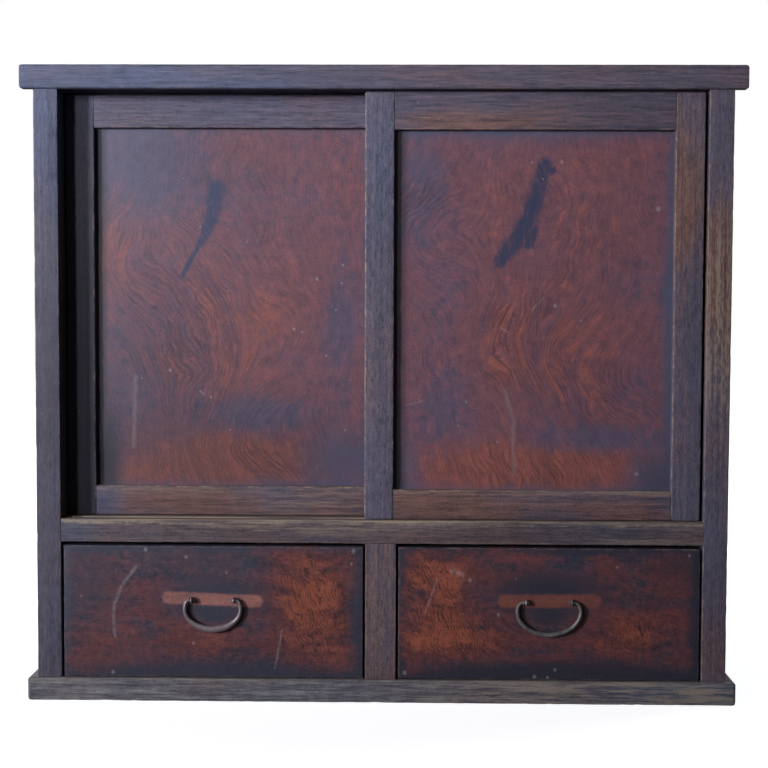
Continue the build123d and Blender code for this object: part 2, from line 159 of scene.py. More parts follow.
class MizuyaStudio(bpy.types.PropertyGroup):
    """Floor, light and camera."""

    floor: swatch("Floor", "Pale studio floor", 214, 213, 211)
    key_power: quantity("Key power", "Window light from the left, in watts", 19.5)
    key_colour: swatch("Key colour", "Tint of the window light", 232, 240, 255)
    back_power: quantity("Back power", "Each lamp behind the cabinet, in watts", 42.0)
    fill: quantity("Fill", "Strength of the room's own light", 0.032)
    room: quantity("Room", "How bright the room is in a glossy surface", 0.10)
    focal_pixels: quantity("Focal length", "In pixels of a 768 pixel frame", 1400.0)
    distance: length("Distance", "Camera to the face of the posts", 1706.0)
    height: length("Height", "Camera above the floor", 485.0)
    aside: length("Aside", "Camera to the right of the middle", 33.0)


# -------- material steps
# How patterns are drawn out along the grain: long fibres, short flecks, patches of wax and wear.
FIBRE = {"X": (0.03, 1.0, 1.0), "Y": (1.0, 0.03, 1.0), "Z": (1.0, 1.0, 0.02)}
FLECK = {"X": (0.08, 1.0, 1.0), "Y": (1.0, 0.08, 1.0), "Z": (1.0, 1.0, 0.20)}
DRIFT = {"X": (0.30, 1.0, 1.0), "Y": (1.0, 0.30, 1.0), "Z": (1.0, 1.0, 0.30)}
FACE = (1.0, 0.0, 1.0)  # flattens a place onto the front


class Steps:
    """A node tree under way. Each method adds a step and gives back its output socket."""

    def __init__(self, owner):
        owner.use_nodes = True
        self.tree = owner.node_tree

    def wire(self, node, inputs):
        """Links or sets inputs of a node, by name or number."""
        for key, value in inputs.items():
            socket = node.inputs[key]
            if isinstance(value, bpy.types.NodeSocket):
                self.tree.links.new(value, socket)
            else:
                socket.default_value = (*value[:3], 1.0) if socket.type == "RGBA" else value

    def step(self, kind, *values, inputs=None, **settings):
        """A node that takes values in its first inputs, and in others by name or number."""
        node = self.tree.nodes.new(kind)
        for name, value in settings.items():
            setattr(node, name, value)
        self.wire(node, dict(enumerate(values)) | (inputs or {}))
        return node

    def math(self, operation, *values, clamp=False):
        return self.step("ShaderNodeMath", *values, operation=operation, use_clamp=clamp).outputs[0]

    times = partialmethod(math, "MULTIPLY")
    plus = partialmethod(math, "ADD")
    minus = partialmethod(math, "SUBTRACT")
    times_plus = partialmethod(math, "MULTIPLY_ADD")
    larger = partialmethod(math, "MAXIMUM")
    smaller = partialmethod(math, "MINIMUM")

    def mixed(self, start, *terms):
        """A value plus each (pattern - 0.5) times its weight."""
        for pattern, weight in terms:
            start = self.plus(start, self.times_plus(pattern, weight, -weight / 2))
        return start


class Coat(Steps):
    """A material under way, with its colour so far."""

    def __init__(self, name):
        self.material = bpy.data.materials.new(name)
        super().__init__(self.material)
        self.surface = self.tree.nodes["Principled BSDF"]
        self.place = self.step("ShaderNodeTexCoord").outputs["Object"]
        self.colour = None

    def vector(self, operation, *values):
        node = self.step("ShaderNodeVectorMath", *values, operation=operation)
        return node.outputs["Value" if operation in ("DOT_PRODUCT", "LENGTH") else "Vector"]

    stretched = partialmethod(vector, "MULTIPLY")
    shifted = partialmethod(vector, "ADD")
    away = partialmethod(vector, "SUBTRACT")
    along = partialmethod(vector, "DOT_PRODUCT")
    span = partialmethod(vector, "LENGTH")

    def scaled(self, vector, factor):
        node = self.step("ShaderNodeVectorMath", vector, inputs={"Scale": factor}, operation="SCALE")
        return node.outputs["Vector"]

    def split(self, vector):
        return self.step("ShaderNodeSeparateXYZ", vector).outputs

    def fade(self, value, start, end, low=0.0, high=1.0):
        """A smooth change from low, at start, to high, at end."""
        return self.step("ShaderNodeMapRange", value, start, end, low, high,
                         interpolation_type="SMOOTHSTEP").outputs["Result"]

    def noise(self, vector, scale, detail=2.0, roughness=0.5, colour=False):
        inputs = {"Scale": scale, "Detail": detail, "Roughness": roughness}
        return self.step("ShaderNodeTexNoise", vector, inputs=inputs).outputs["Color" if colour else "Fac"]

    def blend(self, factor, one, other):
        """One colour turning to the other as the factor goes to 1."""
        return self.step("ShaderNodeMix", factor, inputs={6: one, 7: other}, data_type="RGBA").outputs[2]

    def cover(self, mask, colour):
        """Lays a colour over the coat where the mask is 1."""
        self.colour = self.blend(mask, self.colour, colour)

    def lightened(self, colour, *terms):
        """A colour times one plus each (pattern - 0.5) times its weight."""
        return self.scaled(colour, self.mixed(1.0, *terms))

    def lighten(self, *terms):
        self.colour = self.lightened(self.colour, *terms)

    def ripples(self, value, spacing):
        """0 on each of a run of even lines through a value, 1 midway between two of them."""
        return self.math("DIVIDE", self.math("PINGPONG", value, spacing / 2), spacing / 2)

    def inset(self, low, high):
        """How far inside a box a place lies, along each axis."""
        away = self.vector("ABSOLUTE", self.away(self.place, (low + high) / 2))
        return self.split(self.away((high - low) / 2, away))

    def border(self, low, high):
        """Distance to the nearest border of a board's front."""
        x, _, z = self.inset(low, high)
        return self.smaller(x, z)

    def rubbed(self, low, high, ragged, start, width, strength):
        """The bare strip along a box's arrises, where two of its insets are small."""
        x, y, z = self.inset(low, high)
        arris = self.larger(self.smaller(x, y), self.smaller(self.larger(x, y), z))
        edge = self.times_plus(ragged, 12 * MM, self.plus(arris, -start))
        return self.fade(edge, width, 0.0, 0.0, strength)

    def wander(self, vector, scale, detail, roughness, amount):
        """A noisy shift to every side."""
        colour = self.noise(vector, scale, detail, roughness, colour=True)
        return self.scaled(self.away(colour, (0.5, 0.5, 0.5)), amount)

    def shaken(self, face, scale, amount):
        """The front's coordinates with a ragged shift, for edges that no brush drew straight."""
        return self.stretched(self.shifted(face, self.wander(face, scale, 4, 0.7, amount)), FACE)

    def oval_way(self, face, x, z, wide, high):
        """The way from the middle of an oval, in shares of its half sizes. All in millimetres."""
        away = self.away(face, (x * MM, 0.0, z * MM))
        return self.stretched(away, (1 / (wide * MM), 0.0, 1 / (high * MM)))

    def spot(self, face, *oval):
        """1 in the middle of a soft oval on the front, 0 outside it."""
        return self.fade(self.span(self.oval_way(face, *oval)), 1.0, 0.1)

    def spots(self, face, ovals):
        """The sum of several ovals, each with a strength."""
        total = 0.0
        for *oval, strength in ovals:
            total = self.times_plus(self.spot(face, *oval), strength, total)
        return total

    def streak(self, face, half_width, start, end):
        """1 along a line on the front, fading to 0 at its half width. All in millimetres."""
        start, end = (Vector((x, 0, z)) * MM for x, z in (start, end))
        run = end - start
        away = self.away(face, start)
        share = self.times(self.along(away, run), 1 / run.length_squared, clamp=True)
        return self.fade(self.span(self.away(away, self.scaled(run, share))), half_width * MM, 0.0)

    def strokes(self, face, *lines):
        """The strongest of several lines, each a half width and then x and z of its points."""
        total = 0.0
        for half_width, *run in lines:
            points = list(zip(run[::2], run[1::2]))
            for start, end in zip(points, points[1:]):
                total = self.larger(total, self.streak(face, half_width, start, end))
        return total

    def finish(self, roughness, height, relief, specular=0.5):
        """Wires colour, gloss and relief, in metres, and gives the material."""
        normal = self.step("ShaderNodeBump", inputs={"Distance": relief, "Height": height}).outputs[0]
        self.wire(self.surface, {"Base Color": self.colour, "Roughness": roughness, "Normal": normal,
                                 "Specular IOR Level": specular})
        return self.material


def log_place(seed):
    """Where in its log a member was cut: a seeded shift of its grain."""
    draw = random.Random(seed)
    return tuple(draw.uniform(-9.0, 9.0) for _ in "XYZ")


# -------- finishes
# A noise takes its scale, detail and roughness, a fade its start, its end and the two levels, and
# a mix or a lightening the weight of each pattern.
RING_SPACING = 5.2 * MM  # fine growth rings of a door panel
CURL_SPACING = 4.6 * MM  # curls of a drawer front
STAIN_RELIEF, BARE_RELIEF, LACQUER_RELIEF = 0.10 * MM, 0.15 * MM, 0.05 * MM


def stained_wood(node, grain, warmth=0.5, rub=1.0, ovals=(), weathered=0.0, crest=0.0, dirt_and_shade=(), bare=()):
    """Open-pored stained wood: bloom and painted sheen as a bluish haze, wax on the grain, umber where rubbed,
    bare at the arrises, and darkening ovals that are dirt and painted shade.
    """
    timber = bpy.context.scene.mizuya_timber
    coat = Coat(node + "_stain")
    low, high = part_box(node)
    face = coat.stretched(coat.place, FACE)
    place = coat.shifted(coat.place, log_place(node))
    fleck = coat.stretched(place, FLECK[grain])
    rings = coat.noise(coat.stretched(place, FIBRE[grain]), 260, 3, 0.6)
    streaks = coat.noise(fleck, 430, 3, 0.65)
    pores = coat.fade(coat.noise(fleck, 760, 2, 0.6), 0.55, 0.70)
    speckle = coat.noise(place, 760, 3, 0.75)
    patches = coat.noise(coat.stretched(place, DRIFT[grain]), 14, 5, 0.65)
    grime = coat.noise(place, 80, 4, 0.7)
    ragged = coat.noise(place, 75, 5, 0.75)
    warm = coat.plus(patches, warmth - 0.5)
    if ovals:
        warm = coat.plus(warm, coat.spots(face, ovals))
    warm = coat.mixed(warm, (rings, 0.35), (streaks, 0.40), (speckle, 0.60))
    # Cool patches take the haze colour: bluish bloom and painted sheen of the window.
    coat.colour = coat.blend(coat.fade(warm, 0.02, 0.38), timber.haze, timber.slate)
    coat.cover(coat.fade(warm, 0.36, 0.78), timber.umber)
    if weathered:
        grey = coat.mixed(0.5, (speckle, 0.9), (streaks, 0.7), (rings, 0.7), (grime, 0.4))
        coat.cover(coat.fade(grey, 0.25, 0.80, 0.0, weathered), timber.weathered)
    coat.lighten((rings, 1.2), (streaks, 1.6), (speckle, 1.6), (grime, 0.5))
    coat.cover(coat.times(pores, 0.45), timber.pore)
    # Ovals that darken toward the pore colour: some are dirt, some are painted shade, such as the left post's
    # shadow on the left door's left stile.
    if dirt_and_shade:
        coat.cover(coat.smaller(coat.spots(face, dirt_and_shade), 0.9), timber.pore)
    edge = coat.rubbed(low, high, ragged, 5.6 * MM, 2.0 * MM, rub)
    if bare:
        threads = coat.fade(coat.mixed(0.5, (rings, 1.4), (streaks, 1.2), (speckle, 0.4)), 0.30, 0.80)
        edge = coat.larger(edge, coat.times(coat.spots(face, bare), threads))
    if crest:
        height = coat.mixed(coat.split(coat.place)[2], (streaks, 8 * MM), (ragged, 12 * MM))
        worn = coat.fade(height, high.z - 7.5 * MM, high.z - 1.5 * MM, 0.0, crest)
        edge = coat.larger(edge, coat.times(worn, coat.fade(rings, 0.35, 0.60, 0.2)))
    dents = coat.fade(coat.noise(place, 210), 0.71, 0.78, 0.0, 0.35)
    coat.cover(coat.larger(edge, dents), timber.rubbed)
    relief = coat.mixed(coat.minus(streaks, pores), (rings, 0.4), (speckle, 0.5))
    return coat.finish(coat.mixed(0.60, (streaks, 0.15), (warm, -0.05)), relief, STAIN_RELIEF, 0.35)


def plain_wood(node, grain):
    """Bare aged softwood with wide growth rings."""
    timber = bpy.context.scene.mizuya_timber
    coat = Coat(node + "_bare")
    place = coat.shifted(coat.place, log_place(node))
    fibre = coat.stretched(place, FIBRE[grain])
    sway = coat.scaled(coat.noise(place, 3, colour=True), 0.02)
    rings = coat.noise(coat.shifted(fibre, sway), 130)
    fibres = coat.noise(fibre, 700, 3, 0.65)
    grime = coat.noise(place, 6, 4, 0.6)
    rings = coat.mixed(rings, (coat.noise(fibre, 240, 3, 0.6), 0.4), (grime, 0.5))
    coat.colour = coat.blend(coat.fade(rings, 0.30, 0.80), timber.plain, timber.plain_dark)
    coat.lighten((fibres, 0.8), (grime, 1.0))
    return coat.finish(0.72, coat.plus(fibres, rings), BARE_RELIEF, 0.3)


def bamboo(node):
    """Pale pegs with fine fibres."""
    coat = Coat(node + "_bamboo")
    fibres = coat.noise(coat.stretched(coat.place, FIBRE["X"]), 2400, 3, 0.7)
    coat.colour = bpy.context.scene.mizuya_timber.bamboo
    coat.lighten((fibres, 0.9), (coat.noise(coat.place, 60), 0.4))
    return coat.finish(0.5, fibres, STAIN_RELIEF, 0.4)


def grain_flow(coat, face, across, sway, whorls, run_share):
    """How far a place lies across the growth rings, and a place whose X is that and whose Z is a share
    of how far it lies along them."""
    bent = coat.shifted(face, coat.wander(face, 6, 2, 0.5, sway))
    bent = coat.shifted(bent, coat.wander(face, 34, 3, 0.5, 0.14 * sway))
    phase = coat.along(bent, across)
    for *oval, push in whorls:
        away = coat.oval_way(bent, *oval)
        bell = coat.math("EXPONENT", coat.times(coat.along(away, away), -1.0))
        phase = coat.times_plus(bell, push * MM, phase)
    run = coat.along(face, coat.vector("CROSS_PRODUCT", across, (0.0, 1.0, 0.0)))
    return phase, coat.step("ShaderNodeCombineXYZ", phase, 0.0, coat.times(run, run_share)).outputs[0]


def chalk_marks(coat, face, scratches, specks):
    """Placed scratches and specks, and two scatters of tiny ones."""
    patchy = coat.fade(coat.noise(face, 190, 3, 0.7), 0.34, 0.62, 0.08, 0.38)
    marks = coat.times(coat.strokes(coat.shaken(face, 90, 4 * MM), *scratches), patchy)
    near = coat.shaken(face, 420, 3.5 * MM)
    for x, z, radius in specks:
        marks = coat.larger(marks, coat.times(coat.spot(near, x, z, radius * 0.8, radius), 0.45))
    for scale, strength in ((42.0, 0.4), (110.0, 0.35)):
        cells = coat.step("ShaderNodeTexVoronoi", near, inputs={"Scale": scale}).outputs
        dots = coat.fade(cells["Distance"], 2.5 / scale, 0.6 / scale)
        few = coat.fade(coat.split(cells["Color"])[0], 0.80, 0.97, 0.0, strength)
        marks = coat.larger(marks, coat.times(dots, few))
    return marks


def door_panel_finish(side, low, high, story):
    """A zelkova panel: swirling rings under rubbed lacquer, slate haze at its borders that is grime and in places
    painted sheen, painted shadow along its left border, old stains.
    """
    shades = bpy.context.scene.mizuya_figure
    coat = Coat(side + "_panel_lacquer")
    face = coat.stretched(coat.place, FACE)
    phase, flow = grain_flow(coat, face, (1.0, 0.0, 0.12), 0.10, story["whorls"], 0.10)
    bands = coat.noise(flow, 55, 3, 0.6)
    veins = coat.noise(flow, 130, 3, 0.6)
    fibres = coat.noise(flow, 420, 3, 0.7)
    cloud = coat.noise(face, 9, 4, 0.55)
    mottle = coat.noise(face, 75, 5, 0.7)
    ticks = coat.noise(coat.stretched(face, (1.0, 1.0, 0.6)), 760, 2, 0.7)
    figured = coat.spots(face, story["figured"])
    clear = coat.fade(coat.mixed(figured, (cloud, 0.3)), -0.02, 0.16, 0.3)
    figure = coat.mixed(0.0, (bands, 1.1), (veins, 1.1), (fibres, 0.4))
    warmth = coat.mixed(coat.spots(face, story["tones"]), (cloud, 1.3), (mottle, 1.3))
    warmth = coat.plus(coat.times_plus(figure, clear, warmth), 0.46)
    coat.colour = coat.blend(coat.fade(warmth, 0.0, 0.52), shades.dusk, shades.red)
    coat.cover(coat.fade(warmth, 0.48, 1.05), shades.ember)
    broken = coat.mixed(phase, (bands, 14 * MM), (mottle, 4 * MM))
    lines = coat.fade(coat.ripples(broken, RING_SPACING), 0.45, 0.0)
    strength = coat.mixed(coat.plus(coat.noise(face, 30, 3), figured), (ticks, 0.6))
    coat.cover(coat.times(lines, coat.fade(strength, 0.42, 0.80, 0.0, 0.50)), shades.line)
    seams = coat.fade(coat.math("ABSOLUTE", coat.minus(veins, 0.5)), 0.045, 0.0)
    strength = coat.fade(coat.mixed(figured, (mottle, 0.8)), -0.05, 0.30, 0.0, 0.60)
    coat.cover(coat.times(seams, strength), shades.line)
    coat.lighten((fibres, 0.8), (mottle, 1.1), (ticks, 1.2), (bands, 0.5))
    # Slate haze at the borders and in the slate ovals: grime, and in the upper left of the left panel painted
    # sheen of the window.
    border = coat.mixed(coat.border(low, high), (cloud, 35 * MM), (mottle, 20 * MM))
    haze = coat.fade(border, 14 * MM, -6 * MM, 0.0, 0.75)
    haze = coat.plus(haze, coat.spots(face, story["slates"]), clamp=True)
    haze = coat.times(haze, coat.fade(mottle, 0.25, 0.6, 0.55))
    coat.cover(haze, coat.lightened(shades.slate, (mottle, 0.5), (ticks, 1.0)))
    # Painted shadow of the stile along the panel's left border, laid with the dark ovals in the grime colour.
    rebate_shadow = coat.fade(coat.split(coat.place)[0], low.x + 21 * MM, low.x + 7 * MM, 0.0, 0.70)
    coat.cover(coat.larger(rebate_shadow, coat.spots(face, story["dirt_and_shade"])), shades.grime)
    soot = coat.strokes(coat.shaken(face, 190, story["soot_ragged"] * MM), *story["soot"])
    brushed, dabbed = coat.noise(flow, 300, 4, 0.75), coat.noise(face, 260, 3, 0.7)
    soot = coat.fade(coat.mixed(soot, (brushed, 0.8), (dabbed, 0.4)), 0.08, 0.82, 0.0, story["soot_strength"])
    thin = coat.fade(coat.noise(flow, 240, 4, 0.75), 0.30, 0.56, 0.45)
    coat.cover(coat.times(soot, thin), shades.soot)
    coat.cover(coat.times(coat.strokes(coat.shaken(face, 50, 9 * MM), *story["drips"]), 0.16), shades.chalk)
    coat.cover(chalk_marks(coat, face, story["scratches"], story["specks"]), shades.chalk)
    relief = coat.times_plus(lines, -0.5, coat.mixed(fibres, (ticks, 0.6)))
    return coat.finish(coat.mixed(0.48, (mottle, 0.10), (haze, 0.06)), relief, LACQUER_RELIEF, 0.4)


def drawer_front_finish(side, low, high, story):
    """A drawer front: curly figure, grime at the borders, the ghost of a lost back plate."""
    shades = bpy.context.scene.mizuya_figure
    coat = Coat(side + "_drawer_lacquer")
    face = coat.stretched(coat.place, FACE)
    _, flow = grain_flow(coat, face, (0.10, 0.0, 1.0), 0.07, story["whorls"], 0.14)
    bands = coat.noise(flow, 60, 3, 0.6)
    fibres = coat.noise(flow, 420, 3, 0.7)
    cloud = coat.noise(coat.stretched(face, (0.45, 1.0, 1.0)), 34, 4, 0.6)
    mottle = coat.noise(face, 120, 4, 0.75)
    ticks = coat.noise(coat.stretched(face, (0.6, 1.0, 1.0)), 560, 3, 0.75)
    tones = coat.spots(face, story["tones"])
    warmth = coat.mixed(coat.times(tones, 0.5), (cloud, 1.7), (bands, 0.7), (mottle, 1.1))
    coat.colour = coat.blend(coat.fade(warmth, -0.45, 0.30), shades.drawer_dusk, shades.drawer_red)
    ember = coat.mixed(tones, (cloud, 1.5), (bands, 0.9), (mottle, 0.8), (fibres, 0.4))
    coat.cover(coat.fade(ember, 0.22, 1.05), shades.drawer_ember)
    curls = coat.along(face, (1.0, 0.0, 0.35))
    curls = coat.mixed(curls, (coat.noise(face, 38), 32 * MM), (mottle, 3.5 * MM))
    curls = coat.ripples(curls, CURL_SPACING)
    broken = coat.fade(coat.noise(face, 80, 3, 0.6), 0.38, 0.58)
    shown = coat.times(coat.fade(tones, 0.10, 0.60, 0.12), broken)
    ridges = coat.times(coat.fade(curls, 0.1, 1.0, 1.0, 0.0), shown)
    coat.lighten((ridges, -0.2), (fibres, 1.3), (mottle, 1.7), (ticks, 1.2), (bands, 1.0))
    curls = coat.times(coat.fade(curls, 0.50, 0.05), coat.times(shown, 0.80))
    coat.cover(curls, shades.drawer_line)
    border = coat.mixed(coat.border(low, high), (cloud, 50 * MM), (mottle, 14 * MM))
    haze = coat.plus(coat.fade(border, 14 * MM, -4 * MM, 0.0, 0.85), coat.spots(face, story["slates"]))
    haze = coat.fade(coat.mixed(haze, (cloud, 0.9), (mottle, 0.7)), 0.0, 0.95, 0.0, 0.95)
    dusk = coat.blend(story["gloom"], shades.drawer_dusk, shades.grime)
    coat.cover(haze, coat.lightened(dusk, (mottle, 0.8), (ticks, 1.4)))
    ghost = coat.strokes(coat.shaken(face, 120, 3 * MM), story["ghost"])
    ghost = coat.fade(coat.mixed(ghost, (mottle, 0.2)), 0.12, 0.58, 0.0, story["ghost_strength"])
    bare = coat.blend(story["ghost_warmth"], shades.ghost, shades.drawer_ember)
    bare = coat.lightened(bare, (fibres, 0.8), (mottle, 1.0), (ticks, 0.8))
    coat.cover(coat.times(ghost, coat.fade(bands, 0.25, 0.6, 0.6)), bare)
    coat.cover(chalk_marks(coat, face, story["scratches"], story["specks"]), shades.chalk)
    edge = coat.rubbed(low, high, coat.noise(face, 90, 5, 0.75), 5.8 * MM, 1.8 * MM, 0.60)
    coat.cover(edge, shades.worn_edge)
    relief = coat.times_plus(curls, -0.5, coat.mixed(fibres, (ticks, 0.6)))
    return coat.finish(coat.mixed(0.48, (mottle, 0.10), (haze, 0.06)), relief, LACQUER_RELIEF, 0.35)


def forged_iron(name, side):
    """Hand-forged iron: patina in the hollows, brighter where the hand rubs."""
    iron = bpy.context.scene.mizuya_iron
    coat = Coat(name)
    blows = coat.noise(coat.place, 70)
    skin = coat.noise(coat.place, 500, 3, 0.6)
    rubbed = coat.fade(coat.times_plus(skin, 0.35, coat.times(blows, 0.8)), 0.38, 0.78)
    coat.colour = coat.blend(rubbed, getattr(iron, side + "_patina"), getattr(iron, side + "_bright"))
    coat.wire(coat.surface, {"Metallic": 0.45})
    relief = coat.times_plus(skin, 0.5, blows)
    return coat.finish(coat.fade(rubbed, 0.0, 1.0, 0.52, 0.40), relief, LACQUER_RELIEF)


# -------- mesh helpers
WELD = 0.01 * MM  # corners closer than this are one
SHARP = math.radians(38)  # an edge that turns more stays crisp
WEAR_CUTS = (1.0, 0.45, 0.15)  # cuts beside an arris, as shares of the wear's reach
SLOW_WEAR, QUICK_WEAR = 28, 95  # noise scales of long rubs and short bruises
SLOW_SHARE, QUICK_SHARE = 0.55, 1.1  # how much each takes away, as shares of the wear's depth


def mesh_data(name, mesh):
    """Mesh data made of a bmesh, which is used up."""
    data = bpy.data.meshes.new(name)
    mesh.to_mesh(data)
    mesh.free()
    return data


def stood(name, data):
    """A new object in the scene."""
    item = bpy.data.objects.new(name, data)
    bpy.context.scene.collection.objects.link(item)
    return item


def placed(name, mesh, material, node):
    """Makes an object of a bmesh that stands for a CAD node, on its body, and hides the node."""
    bmesh.ops.recalc_face_normals(mesh, faces=mesh.faces)
    data = mesh_data(name, mesh)
    data.materials.append(material)
    data.shade_smooth()
    data.set_sharp_from_angle(angle=SHARP)
    piece = stood(name, data)
    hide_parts(node)
    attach(piece, BODY_OF[node])
    return piece


def clothed(node, material):
    """Gives a CAD node its finish."""
    data = frame["nodes"][node].data
    data.materials.clear()
    data.materials.append(material)


def cut(mesh, axis, place):
    """One plane cut through the whole bmesh."""
    normal = Vector((0, 0, 0))
    normal[axis] = 1
    bmesh.ops.bisect_plane(mesh, geom=mesh.verts[:] + mesh.edges[:] + mesh.faces[:], plane_co=normal * place,
                           plane_no=normal)


def rounded(place, low, high, radius):
    """Moves a place near an end of a rail onto the round of its corner, as seen from the front."""
    middle = (low + high) / 2
    inner = (high - low) / 2
    x = abs(place.x - middle.x) - (inner.x - radius)
    z = abs(place.z - middle.z) - (inner.z - radius)
    if x > 0 and z > 0 and math.hypot(x, z) > radius:
        excess = 1 - radius / math.hypot(x, z)
        place.x -= math.copysign(x * excess, place.x - middle.x)
        place.z -= math.copysign(z * excess, place.z - middle.z)


def worn_copy(node, grain, material, share=1.0, holed=False):
    """A copy of a member, sliced along its grain, whose arrises are rubbed back unevenly."""
    wear = bpy.context.scene.mizuya_wear
    low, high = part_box(node)
    mesh = bmesh.new()
    mesh.from_mesh(frame["nodes"][node].data)
    bmesh.ops.remove_doubles(mesh, verts=mesh.verts, dist=WELD)
    if not holed:
        bmesh.ops.dissolve_limit(mesh, angle_limit=math.radians(1), verts=mesh.verts, edges=mesh.edges)
    for axis in range(3):
        for face, inward in ((low[axis], 1), (high[axis], -1)):
            for depth in WEAR_CUTS:
                cut(mesh, axis, face + inward * depth * wear.reach)
    run = "XYZ".index(grain)
    slices = int((high[run] - low[run]) / wear.slice)
    for count in range(1, slices):
        cut(mesh, run, low[run] + count * (high[run] - low[run]) / slices)
    bmesh.ops.dissolve_degenerate(mesh, dist=2 * WELD, edges=mesh.edges)
    bmesh.ops.triangulate(mesh, faces=[face for face in mesh.faces if len(face.verts) > 4])
    middle, shift = (low + high) / 2, Vector(log_place(node + " wear"))
    for vertex in mesh.verts:
        if node in ROUNDED:
            rounded(vertex.co, low, high, wear.corner)
        inset = [min(vertex.co[axis] - low[axis], high[axis] - vertex.co[axis]) for axis in range(3)]
        near = sorted(range(3), key=lambda axis: inset[axis])[:2]
        weight = math.prod(max(0.0, 1 - inset[axis] / wear.reach) for axis in near)
        if weight == 0.0:
            continue
        slow = 0.5 + 0.5 * noise.noise((vertex.co + shift) * SLOW_WEAR)
        quick = max(0.0, noise.noise((vertex.co + shift) * QUICK_WEAR)) ** 1.5
        amount = weight * share * wear.depth * (SLOW_SHARE * slow + QUICK_SHARE * quick)
        for axis in near:
            vertex.co[axis] += math.copysign(amount, middle[axis] - vertex.co[axis])
    return placed(node + "_worn", mesh, material, node)


def drawn_bar(stations, segments):
    """A closed bar: a ring pulled through each station, a matrix that maps the unit circle."""
    mesh = bmesh.new()
    ring = bmesh.ops.create_circle(mesh, cap_ends=True, radius=1.0, segments=segments)["verts"]
    bmesh.ops.transform(mesh, matrix=stations[0], verts=ring)
    edges = mesh.edges[:]
    for before, after in zip(stations, stations[1:]):
        pulled = bmesh.ops.extrude_edge_only(mesh, edges=edges)["geom"]
        ring = [item for item in pulled if isinstance(item, bmesh.types.BMVert)]
        edges = [item for item in pulled if isinstance(item, bmesh.types.BMEdge)]
        bmesh.ops.transform(mesh, matrix=after @ before.inverted(), verts=ring)
    bmesh.ops.edgeloop_fill(mesh, edges=edges)
    return mesh


def station(place, heading, tall, deep):
    """The ring's matrix at a place in the X-Z plane, square to its heading, with two half sizes."""
    along = Vector((heading[0], 0, heading[1])).normalized()
    side = Vector((0, 1, 0))
    up = along.cross(side)
    turn = Matrix((side * deep, up * tall, along * 0.5 * (tall + deep))).transposed().to_4x4()
    return Matrix.Translation(place) @ turn


# -------- forged handles
# A bail's end along its eye: millimetres from the eye, and the share of the knob's radius, or None
# for the neck that turns in the eye.
BAIL_END = (
    (-3.4, 0.35), (-3.3, 0.75), (-2.9, 1.0), (-2.2, 1.0), (-1.75, 0.8), (-1.5, None), (1.5, None),
    (1.75, 0.8), (2.2, 1.0), (3.2, 1.0), (3.7, 0.9))
SHOULDER_START = 4.0 * MM  # from the eye to where the bar turns down
SHOULDER_STEPS, GRIP_STEPS = 8, 22
HAMMER_DEPTH, HAMMER_SCALE = 0.12 * MM, 190
HAMMER_FREE = 3 * MM  # no blows this near the height of the eyes
PIN_WIDTH = 2.6 * MM
LEG, STRIP = 0.65 * MM, 1.0 * MM  # half a pin's thickness: one leg, and round the eye
NECK = 5 * MM  # from the eye's middle to where its two legs meet
EYE_START, EYE_STEPS = 14, 12  # degrees, and steps from there to the front
FULL, PIN_FACETS = 1.12, 12  # a faceted ring is drawn this much larger than its round


def bail_stations(side):
    """Half of a bail, from the tip inside the eye to the middle of the grip."""
    iron = bpy.context.scene.mizuya_iron
    centre = HINGE[side + "_bail"]
    low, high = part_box(side + "_bail")
    pins_low, pins_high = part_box(side + "_drawer_eye_pins")
    eye = (pins_high.x - pins_low.x - PIN_WIDTH) / 2
    reach = (high.x - low.x) / 2 - iron.side_radius
    tall, deep = getattr(iron, side + "_grip") / 2, getattr(iron, side + "_depth") / 2
    drop = centre.z - low.z - tall - iron.curl
    half = iron.side_radius
    stations = []
    for offset, share in BAIL_END:
        radius = share * iron.knob_radius if share else iron.end_radius
        stations.append(station(Vector((eye + offset * MM, 0, 0)), (1, 0), radius, radius))
    start = eye + SHOULDER_START
    for step in range(SHOULDER_STEPS):
        turn = math.pi / 2 * step / SHOULDER_STEPS
        place = Vector((start + (reach - start) * math.sin(turn), 0, -iron.curl * (1 - math.cos(turn))))
        heading = ((reach - start) * math.cos(turn), -iron.curl * math.sin(turn))
        radius = iron.end_radius + (half - iron.end_radius) * math.sin(turn)
        stations.append(station(place, heading, radius, radius))
    for step in range(GRIP_STEPS + 1):
        turn = math.pi / 2 * step / GRIP_STEPS
        swell = math.sin(turn) ** 2
        place = Vector((reach * math.cos(turn), 0, -iron.curl - drop * math.sin(turn)))
        heading = (-reach * math.sin(turn), -drop * math.cos(turn))
        stations.append(station(place, heading, half + (tall - half) * swell, half + (deep - half) * swell))
    return stations, centre


def forge_bail(side):
    """Draws half of a bail, mirrors it, and leaves the marks of the hammer."""
    stations, centre = bail_stations(side)
    mesh = drawn_bar(stations, bpy.context.scene.mizuya_iron.facets)
    cap = [face for face in mesh.faces if abs(face.calc_center_median().x) < WELD]
    bmesh.ops.delete(mesh, geom=cap, context="FACES_ONLY")
    bmesh.ops.mirror(mesh, geom=mesh.verts[:] + mesh.edges[:] + mesh.faces[:], axis="X", merge_dist=5 * WELD)
    bmesh.ops.translate(mesh, vec=centre, verts=mesh.verts)
    bmesh.ops.recalc_face_normals(mesh, faces=mesh.faces)
    mesh.normal_update()
    for vertex in mesh.verts:
        if abs(vertex.co.z - centre.z) > HAMMER_FREE:
            vertex.co -= vertex.normal * max(0.0, noise.noise(vertex.co * HAMMER_SCALE)) * HAMMER_DEPTH
    node = side + "_bail"
    piece = placed(node + "_forged", mesh, forged_iron(node + "_iron", side), node)
    smooth = piece.modifiers.new("Smooth", "SUBSURF")
    smooth.levels = smooth.render_levels = 1


